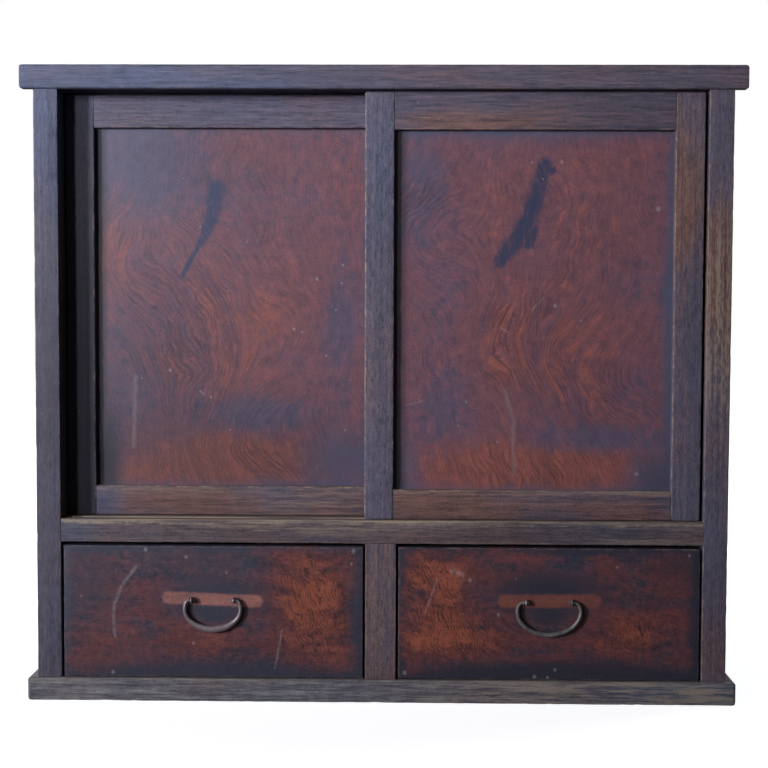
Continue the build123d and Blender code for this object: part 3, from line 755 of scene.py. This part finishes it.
def pin_path(centre, low, high):
    """Half of a split pin in the Y-Z plane, (y, z, half thickness), from its clinch to the eye's front."""
    inside, clinch = high.y - LEG, (high.z - low.z) / 2
    round_eye = centre.y - low.y - STRIP
    path = [(inside, clinch, LEG), (inside, clinch / 2, LEG), (inside, LEG * 3, LEG),
            (inside - LEG * 0.6, LEG * 1.6, LEG), (inside - LEG * 3, LEG, LEG), (centre.y + NECK, LEG, LEG)]
    for step in range(EYE_STEPS + 1):
        turn = math.radians(EYE_START + (180 - EYE_START) * step / EYE_STEPS)
        path.append((centre.y + round_eye * math.cos(turn), round_eye * math.sin(turn), STRIP))
    return path


def bend_eye_pins(side):
    """Two split pins: a strip clinched inside, led forward, bent round the bail and back again."""
    node = side + "_drawer_eye_pins"
    low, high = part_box(node)
    centre = HINGE[side + "_bail"]
    half_width = PIN_WIDTH / 2
    path = pin_path(centre, low, high)
    path += [(y, -z, thick) for y, z, thick in reversed(path[:-1])]
    across = Vector((1, 0, 0))
    whole = bmesh.new()
    for x in (low.x + half_width, high.x - half_width):
        rings = []
        for behind, (y, z, thick), ahead in zip(path[:1] + path, path, path[1:] + path[-1:]):
            along = Vector((0, ahead[0] - behind[0], ahead[1] - behind[1])).normalized()
            sizes = (across * half_width * FULL, along.cross(across) * thick * FULL, along * half_width)
            rings.append(Matrix.Translation((x, y, centre.z + z)) @ Matrix(sizes).transposed().to_4x4())
        data = mesh_data("strip", drawn_bar(rings, PIN_FACETS))
        whole.from_mesh(data)
        bpy.data.meshes.remove(data)
    for vertex in whole.verts:
        for axis in range(3):
            vertex.co[axis] = min(max(vertex.co[axis], low[axis]), high[axis])
    placed(node + "_bent", whole, forged_iron(node + "_iron", side), node)


# -------- this cabinet's own marks
# All places and sizes here are in millimetres. An oval is x, z, half width, half height and strength;
# a line is its half width and then x and z of its points; a speck is x, z and radius.
# Front members: grain, warmth of the stain, how bare the arrises are, how weathered, how pale the crest, and ovals
# of warmer or cooler stain (the cooler ones at the upper left partly paint the window's sheen), ovals that darken,
# as dirt or as painted shade, and ovals of bare wood.
FRONT_MEMBERS = {
    # The cooler ovals at the left of the top rail and at the top of the left post paint the window's bluish sheen.
    "top_front_rail": ("X", 0.36, 0.3, dict(dirt_and_shade=((-420, 765, 300, 100, 0.1),),
        ovals=((-420, 765, 420, 100, -0.3), (350, 765, 400, 80, 0.14)))),
    "front_post_left": ("Z", 0.4, 0.25, dict(ovals=((-410, 760, 100, 360, -0.34),),
        dirt_and_shade=((-410, 380, 200, 1000, 0.28), (-410, 400, 200, 250, 0.22)))),
    "front_post_right": ("Z", 0.38, 0.5, dict(bare=((410, 470, 50, 200, 0.75),),
        ovals=((410, 520, 60, 170, 0.38), (410, 50, 60, 140, 0.24)))),
    "centre_post": ("Z", 0.52, 0.4, dict(bare=((0, 110, 50, 200, 0.12),))),
    "sill_rail": ("X", 0.5, 0.45, dict(weathered=0.3, crest=1,
        ovals=((-380, 210, 50, 50, -0.32), (0, 210, 300, 40, 0.1)),
        dirt_and_shade=((250, 210, 300, 80, 0.44), (-250, 210, 500, 80, 0.42)),
        bare=((-100, 217, 300, 12, 0.4), (300, 203, 100, 8, 0.35)))),
    "plinth_front_rail": ("X", 0.42, 0.4, dict(weathered=0.95, crest=0.3,
        ovals=((380, 14, 140, 50, -0.3),), bare=((300, 14, 350, 50, 0.85),))),
    # This stile's dark ovals paint the shadow that the left post casts on it.
    "left_door_stile_left": ("Z", 0.22, 0.35, dict(
        dirt_and_shade=((-370, 50, 200, 800, 1), (-370, 600, 200, 400, 0.25)))),
    "left_door_stile_right": ("Z", 0.45, 0.4, {}),
    "left_door_top_rail": ("X", 0.3, 0.4, dict(dirt_and_shade=((-280, 712, 250, 60, 0.14),))),
    "left_door_bottom_rail": ("X", 0.54, 0.8, dict(crest=0.4,
        ovals=((-230, 245, 130, 35, 0.3), (-350, 240, 35, 40, -0.35)), bare=((-100, 245, 120, 30, 0.3),))),
    "right_door_stile_left": ("Z", 0.36, 0.8, {}),
    "right_door_stile_right": ("Z", 0.42, 0.6, dict(ovals=((362, 620, 40, 120, 0.26),),
        bare=((362, 620, 40, 140, 0.12),))),
    "right_door_top_rail": ("X", 0.44, 0.4, dict(ovals=((100, 712, 140, 20, 0.18),),
        dirt_and_shade=((300, 712, 200, 60, 0.26),))),
    "right_door_bottom_rail": ("X", 0.58, 0.8, dict(crest=0.4,
        ovals=((80, 240, 120, 30, 0.22), (300, 240, 100, 40, 0.22)))),
}
END_MEMBERS = {
    "rear_post_left": ("Z", 0.35), "rear_post_right": ("Z", 0.45), "top_rear_rail": ("X", 0.40),
    "plinth_rear_rail": ("X", 0.40), "top_end_rail_left": ("Y", 0.40), "top_end_rail_right": ("Y", 0.40),
    "side_middle_rail_left": ("Y", 0.40), "side_middle_rail_right": ("Y", 0.45),
    "plinth_end_rail_left": ("Y", 0.40), "plinth_end_rail_right": ("Y", 0.40),
}
ROUNDED = ("top_front_rail", "plinth_front_rail")
STAINED_BOARDS = {
    "top_board": "X", "side_panel_upper_left": "Z", "side_panel_upper_right": "Z",
    "side_panel_lower_left": "Y", "side_panel_lower_right": "Y",
}
BARE_BOARDS = {
    "back_board_left": "Z", "back_board_right": "Z", "back_board_lower": "X", "rear_middle_rail": "X",
    "case_bottom": "X", "cupboard_floor": "X", "shelf_board": "X", "shelf_cleat_left": "Y",
    "shelf_cleat_right": "Y", "drawer_guide_left": "Y", "drawer_guide_right": "Y", "centre_guide": "Y",
    "drawer_kicker": "Y",
}
GROOVE = Vector((7, 0, 7)) * MM  # how far a panel goes into its frame
# Door panels: rings pushed aside round each whorl (its last number is the push), glowing or dusky tones, zones
# where the figure is strong, slate haze that is grime and in places painted sheen, dark ovals of dirt and painted
# shadow, brushed soot, drips and chalky marks.
PANEL_STORIES = {"left": dict(
    whorls=(
        (-345, 555, 100, 90, 75), (-175, 325, 70, 55, 60), (-110, 470, 50, 100, -40),
        (-200, 620, 60, 50, 30),
    ),
    tones=(
        (-180, 295, 200, 55, 0.75), (-160, 470, 170, 160, 0.12), (-330, 570, 80, 80, 0.22),
        (-50, 470, 35, 160, -0.4), (-300, 670, 180, 110, -0.4), (-150, 352, 120, 40, -0.45),
        (-330, 400, 70, 120, -0.3), (-70, 660, 60, 100, -0.1), (-320, 275, 60, 30, 0.35),
    ),
    figured=(
        (-240, 450, 100, 160, 0.22), (-150, 360, 120, 50, 0.15), (-330, 580, 80, 100, 0.16),
        (-180, 292, 160, 50, 0.2),
    ),
    # The upper left slate oval paints the window's sheen on the lacquer.
    slates=(
        (-50, 295, 80, 60, 0.85), (-345, 300, 35, 80, 0.7), (-330, 660, 100, 140, 0.45),
        (-135, 356, 110, 26, 0.3),
    ),
    # The first two dark ovals paint the stile's shadow along the left border; the others darken the panel.
    dirt_and_shade=(
        (-352, 275, 42, 140, 0.65), (-375, 440, 35, 340, 0.35), (-200, 460, 550, 600, 0.1),
        (-200, 300, 300, 100, 0.2), (-300, 400, 160, 200, 0.18), (-220, 670, 160, 80, 0.16),
    ),
    soot=(
        (18.5, -206, 636.2, -207.8, 620.6), (18, -207.8, 620.6, -212.7, 598.3),
        (14, -212.7, 598.3, -219, 580.5), (9.5, -219, 580.5, -225.6, 567.1),
        (5.2, -225.6, 567.1, -236.8, 549.3, -249.7, 524.8),
    ),
    drips=((4.5, -308, 399, -310, 355, -311, 311),),
    scratches=((1.4, -227.8, 381.8, -220, 376),),
    specks=(
        (-227, 586, 2.2), (-248, 646, 1.6), (-70, 427, 2.4), (-145, 498, 1.6), (-81.4, 522.2, 4),
        (-50.2, 517.3, 2.4), (-49, 539.6, 2.6), (-57.6, 483.7, 2.4), (-110, 459.9, 3.2), (-100, 456.2, 2),
        (-265.3, 408, 3.6), (-300.5, 397.8, 2.2), (-214, 374.4, 2.4), (-46, 333.8, 2), (-190.2, 333.1, 2),
        (-169, 568, 1.6),
    ),
    soot_strength=0.88, soot_ragged=4,
), "right": dict(
    whorls=(
        (20, 575, 100, 80, 75), (140, 435, 28, 60, 34), (198, 475, 24, 50, 28), (275, 400, 70, 60, 55),
        (240, 620, 50, 50, -30),
    ),
    tones=(
        (180, 292, 200, 50, 0.6), (200, 460, 150, 160, 0.32), (250, 650, 80, 60, 0.2),
        (270, 326, 130, 28, -0.6), (300, 500, 80, 60, -0.05), (70, 360, 80, 80, -0.28),
        (50, 620, 70, 120, -0.2), (310, 400, 60, 80, -0.1),
    ),
    figured=(
        (170, 450, 100, 120, 0.2), (260, 380, 90, 70, 0.18), (40, 620, 60, 80, 0.16),
        (180, 290, 160, 45, 0.24), (250, 580, 50, 80, 0.12),
    ),
    slates=(
        (356, 480, 22, 300, 0.75), (180, 705, 240, 30, 0.6), (335, 285, 50, 45, 0.9),
        (30, 290, 26, 60, 0.6), (45, 660, 40, 50, 0.4), (260, 321, 120, 18, 0.25),
    ),
    dirt_and_shade=((345, 270, 50, 60, 0.25),),
    soot=(
        (16, 197.4, 661, 192, 637.5), (9, 199, 660, 206.4, 654),
        (19, 192, 637.5, 186.1, 614.9, 177.1, 592.3), (19, 177.1, 592.3, 163.6, 569.8, 151, 553),
        (15, 151, 553, 144, 544), (11, 185, 583, 179, 564),
    ),
    drips=((4.5, 151.7, 385.2, 161.8, 347.1, 163.6, 281.6),),
    scratches=(
        (1.5, 198.1, 500.6, 182.6, 483.4), (1.6, 147, 461.3, 155.6, 457.6), (1.2, 30.2, 367.3, 53, 372.6),
    ),
    specks=(
        (212, 490, 4), (244, 472, 2.6), (336, 608, 5), (182, 664, 2.4), (143, 322.3, 2.8),
        (103.9, 371.4, 2.4), (94.3, 342.4, 2.2), (195.7, 644, 2), (218.6, 664.6, 3), (314.1, 283.7, 4.2),
    ),
    soot_strength=0.9, soot_ragged=9,
)}
# Drawer fronts: the same, the ghost of a back plate, as a line, and their gloom.
DRAWER_STORIES = {"left": dict(
    whorls=((-75, 115, 35, 45, 32), (-110, 80, 20, 20, 20), (-50, 150, 20, 20, -20)),
    tones=(
        (-78, 100, 80, 80, 0.75), (-90, 150, 80, 55, 0.5), (-205, 76, 120, 28, 0.25),
        (-310, 105, 100, 55, 0.12), (-210, 165, 120, 30, -0.3), (-110, 175, 70, 30, 0.25),
    ),
    slates=(
        (-210, 35, 280, 26, 0.8), (-30, 110, 20, 120, 0.6), (-370, 150, 80, 100, 0.5),
        (-270, 185, 140, 25, 0.2), (-210, 175, 130, 30, 0.3), (-206.6, 108, 34, 18, 0.6),
        (-207, 130, 105, 45, 0.85),
    ),
    ghost=(12.5, -262, 128.8, -153, 124.6),
    scratches=(
        (3.6, -302, 166.5, -320, 142, -328.1, 122.5, -330.1, 106.2, -328.4, 80.5),
        (2.2, -121.5, 89.2, -130.2, 41.6),
    ),
    specks=(
        (-240, 179.1, 3.6), (-331.2, 34.9, 4), (-370, 130, 2), (-190, 160, 2), (-290, 188.5, 4.5),
        (-33.5, 188, 4.5), (-36, 172, 3), (-231, 72, 3),
    ),
    gloom=0, ghost_strength=0.88, ghost_warmth=0.1,
), "right": dict(
    whorls=((85, 130, 35, 40, 26), (110, 75, 40, 30, -26), (310, 80, 40, 30, 20)),
    tones=(
        (65, 150, 85, 60, 0.7), (85, 85, 100, 60, 0.8), (310, 88, 90, 40, 0.5), (270, 160, 110, 30, -0.15),
    ),
    slates=(
        (210, 37, 280, 28, 0.9), (388, 110, 20, 120, 0.6), (370, 175, 70, 40, 0.4),
        (206.6, 106, 34, 18, 0.5), (207, 135, 105, 48, 0.95),
    ),
    ghost=(13.5, 152, 127.2, 263.5, 128.2),
    scratches=((2.2, 69.3, 152.8, 54.8, 113), (5, 88, 164, 100, 159)),
    specks=(
        (109.8, 153.1, 4), (215, 42, 3.4), (290, 170, 1.8), (190, 33, 4.5), (206, 32.5, 3.5),
        (30, 37, 4.5), (378, 185, 3), (144.9, 110, 3.5),
    ),
    gloom=0.38, ghost_strength=0.66, ghost_warmth=0.9,
)}


# -------- operators
class MIZUYA_OT_wear_front(bpy.types.Operator):
    """Wear and stain the members that show in front."""

    bl_idname = "mizuya.wear_front"
    bl_label = "Wear Front Members"

    def execute(self, context):
        for node, (grain, warmth, rub, marks) in FRONT_MEMBERS.items():
            worn_copy(node, grain, stained_wood(node, grain, warmth, rub, **marks))
        return {"FINISHED"}


class MIZUYA_OT_wear_ends(bpy.types.Operator):
    """Wear and stain the members of the ends and the back."""

    bl_idname = "mizuya.wear_ends"
    bl_label = "Wear End Members"

    def execute(self, context):
        for node, (grain, warmth) in END_MEMBERS.items():
            worn_copy(node, grain, stained_wood(node, grain, warmth, rub=0.7))
        return {"FINISHED"}


class MIZUYA_OT_stain_boards(bpy.types.Operator):
    """Stain the top and the end panels, and give the hidden boards bare wood."""

    bl_idname = "mizuya.stain_boards"
    bl_label = "Finish Boards"

    def execute(self, context):
        for node, grain in STAINED_BOARDS.items():
            clothed(node, stained_wood(node, grain, warmth=0.45, rub=0.5))
        for node, grain in BARE_BOARDS.items():
            clothed(node, plain_wood(node, grain))
        return {"FINISHED"}


class MIZUYA_OT_lacquer_panels(bpy.types.Operator):
    """Give the door panels their figure, haze and stains."""

    bl_idname = "mizuya.lacquer_panels"
    bl_label = "Lacquer Door Panels"

    def execute(self, context):
        for side in SIDES:
            node = side + "_door_panel"
            low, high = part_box(node)
            clothed(node, door_panel_finish(side, low + GROOVE, high - GROOVE, PANEL_STORIES[side]))
        return {"FINISHED"}


class MIZUYA_OT_finish_drawers(bpy.types.Operator):
    """Lacquer the drawer fronts and finish the boxes behind them."""

    bl_idname = "mizuya.finish_drawers"
    bl_label = "Finish Drawers"

    def execute(self, context):
        for side in SIDES:
            drawer = side + "_drawer_"
            low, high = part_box(drawer + "front")
            lacquer = drawer_front_finish(side, low, high, DRAWER_STORIES[side])
            worn_copy(drawer + "front", "X", lacquer, share=0.9, holed=True)
            for board, grain in (("side_left", "Y"), ("side_right", "Y"), ("back", "X"), ("bottom", "X")):
                clothed(drawer + board, plain_wood(drawer + board, grain))
            clothed(drawer + "pegs", bamboo(drawer + "pegs"))
        return {"FINISHED"}


class MIZUYA_OT_forge_bails(bpy.types.Operator):
    """Forge the two swinging bails."""

    bl_idname = "mizuya.forge_bails"
    bl_label = "Forge Bails"

    def execute(self, context):
        for side in SIDES:
            forge_bail(side)
        return {"FINISHED"}


class MIZUYA_OT_bend_eye_pins(bpy.types.Operator):
    """Bend the split pins that carry the bails."""

    bl_idname = "mizuya.bend_eye_pins"
    bl_label = "Bend Eye Pins"

    def execute(self, context):
        for side in SIDES:
            bend_eye_pins(side)
        return {"FINISHED"}


class MIZUYA_OT_set_studio(bpy.types.Operator):
    """Lay the floor, hang the window light and place the camera."""

    bl_idname = "mizuya.set_studio"
    bl_label = "Set Studio"

    def execute(self, context):
        studio = context.scene.mizuya_studio
        lay_floor(studio)
        light_room(context.scene, studio)
        place_camera(context.scene, studio)
        context.scene.view_settings.view_transform = "Standard"
        return {"FINISHED"}


FLOOR_REACH, FLOOR_SHARE = 9.0, 0.35  # half the floor's width; how much of its colour lights the cabinet
# The floor's glow, by distance from the middle: its start and end, and its level at both.
GLOW = (0.45, 1.10, 0.82, 1.1)
UPPER_LEFT, LOW_MIDDLE = (-0.6, -0.19, 1.0), (0.0, 0.1, 0.4)  # what the windows and the back lamps face
# Windows: place, width and height, and share of the key power.
WINDOWS = (("far_window", (-3.69, -3.20, 1.38), (0.55, 1.25), 1.0),
           ("near_window", (-2.35, -4.20, 1.50), (0.47, 1.50), 0.24))
WINDOW_SPREAD = 40  # degrees
BACK_LAMPS, BACK_SIZE = (("back_right", (2.4, 1.3, 1.7)), ("back_left", (-1.6, 2.4, 1.9))), (1.6, 1.6)
SENSOR, FRAME_PIXELS = 36.0, 768  # both are the frame's width, in millimetres and in pixels
CAMERA_TURNS = ((1.00, "Z"), (90 - 3.06, "X"), (0.22, "Z"))  # left, up from straight down, roll


def lay_floor(studio):
    """A wide pale floor; the camera sees it brighter than the cabinet does."""
    mesh = bmesh.new()
    bmesh.ops.create_grid(mesh, x_segments=1, y_segments=1, size=FLOOR_REACH)
    floor = stood("studio_floor", mesh_data("studio_floor", mesh))
    paint = Coat("studio_floor_paint")
    shade = [FLOOR_SHARE * channel for channel in studio.floor]
    paint.wire(paint.surface, {"Base Color": shade, "Roughness": 0.9, "Specular IOR Level": 0.0})
    seen = paint.step("ShaderNodeBsdfDiffuse", studio.floor).outputs[0]
    away = paint.span(paint.stretched(paint.place, (1.0, 1.4, 0.0)))
    strength = paint.fade(away, *GLOW)
    glow = paint.step("ShaderNodeEmission", (1.0, 1.0, 1.0), strength).outputs[0]
    pale = paint.step("ShaderNodeAddShader", seen, glow).outputs[0]
    rays = paint.step("ShaderNodeLightPath").outputs["Is Camera Ray"]
    shown = paint.step("ShaderNodeMixShader", rays, paint.surface.outputs[0], pale).outputs[0]
    paint.wire(paint.tree.nodes["Material Output"], {"Surface": shown})
    floor.data.materials.append(paint.material)


def hang_lamp(name, place, size, power, colour, aim, spread):
    """One soft rectangular lamp that the camera doesn't see."""
    data = bpy.data.lights.new(name, "AREA")
    data.shape = "RECTANGLE"
    data.size, data.size_y = size
    data.energy = power
    data.color = colour
    data.spread = math.radians(spread)
    lamp = stood(name, data)
    lamp.location = place
    lamp.rotation_euler = (Vector(aim) - lamp.location).to_track_quat("-Z", "Y").to_euler()
    lamp.visible_camera = False


def light_room(scene, studio):
    """Two tall windows far to the left in front, soft lamps behind, and a little light from the room."""
    for name, place, size, share in WINDOWS:
        hang_lamp(name, place, size, studio.key_power * share, studio.key_colour, UPPER_LEFT, WINDOW_SPREAD)
    for name, place in BACK_LAMPS:
        hang_lamp(name, place, BACK_SIZE, studio.back_power, studio.key_colour, LOW_MIDDLE, 180)
    scene.world = bpy.data.worlds.new("room")
    room = Steps(scene.world)
    rays = room.step("ShaderNodeLightPath").outputs
    seen = room.larger(rays["Is Camera Ray"], rays["Is Transmission Ray"])
    seen = room.times_plus(rays["Is Glossy Ray"], studio.room, seen)
    strength = room.larger(seen, studio.fill)
    room.wire(room.tree.nodes["Background"], {"Color": (1.0, 1.0, 1.0), "Strength": strength})


def place_camera(scene, studio):
    """Eye level with the upper door, turned a little down and to the left."""
    lens = bpy.data.cameras.new("camera")
    lens.sensor_width = SENSOR
    lens.lens = SENSOR * studio.focal_pixels / FRAME_PIXELS
    camera = stood("camera", lens)
    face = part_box("front_post_left")[0].y
    turn = Matrix.Identity(4)
    for degrees, axis in CAMERA_TURNS:
        turn = turn @ Matrix.Rotation(math.radians(degrees), 4, axis)
    camera.matrix_world = Matrix.Translation((studio.aside, face - studio.distance, studio.height)) @ turn
    scene.camera = camera


STEPS = (MIZUYA_OT_wear_front, MIZUYA_OT_wear_ends, MIZUYA_OT_stain_boards, MIZUYA_OT_lacquer_panels,
         MIZUYA_OT_finish_drawers, MIZUYA_OT_forge_bails, MIZUYA_OT_bend_eye_pins, MIZUYA_OT_set_studio)
GROUPS = {"mizuya_timber": MizuyaTimber, "mizuya_figure": MizuyaFigure, "mizuya_iron": MizuyaIron,
          "mizuya_wear": MizuyaWear, "mizuya_studio": MizuyaStudio}


class MIZUYA_PT_finish(bpy.types.Panel):
    """Lists the steps of the finish in the sidebar."""

    bl_label = "Mizuya Cabinet"
    bl_space_type = "VIEW_3D"
    bl_region_type = "UI"
    bl_category = "Mizuya"

    def draw(self, context):
        for step in STEPS:
            self.layout.operator(step.bl_idname)


def register():
    for group in GROUPS.values():
        bpy.utils.register_class(group)
    for name, group in GROUPS.items():
        setattr(bpy.types.Scene, name, PointerProperty(type=group))
    for item in STEPS + (MIZUYA_PT_finish,):
        bpy.utils.register_class(item)


def unregister():
    for item in (MIZUYA_PT_finish,) + STEPS[::-1]:
        bpy.utils.unregister_class(item)
    for name, group in GROUPS.items():
        delattr(bpy.types.Scene, name)
        bpy.utils.unregister_class(group)


def main():
    """Registers the add-on and runs every step in order."""
    register()
    for step in STEPS:
        group, call = step.bl_idname.split(".")
        getattr(getattr(bpy.ops, group), call)()


if __name__ == "__main__":
    main()
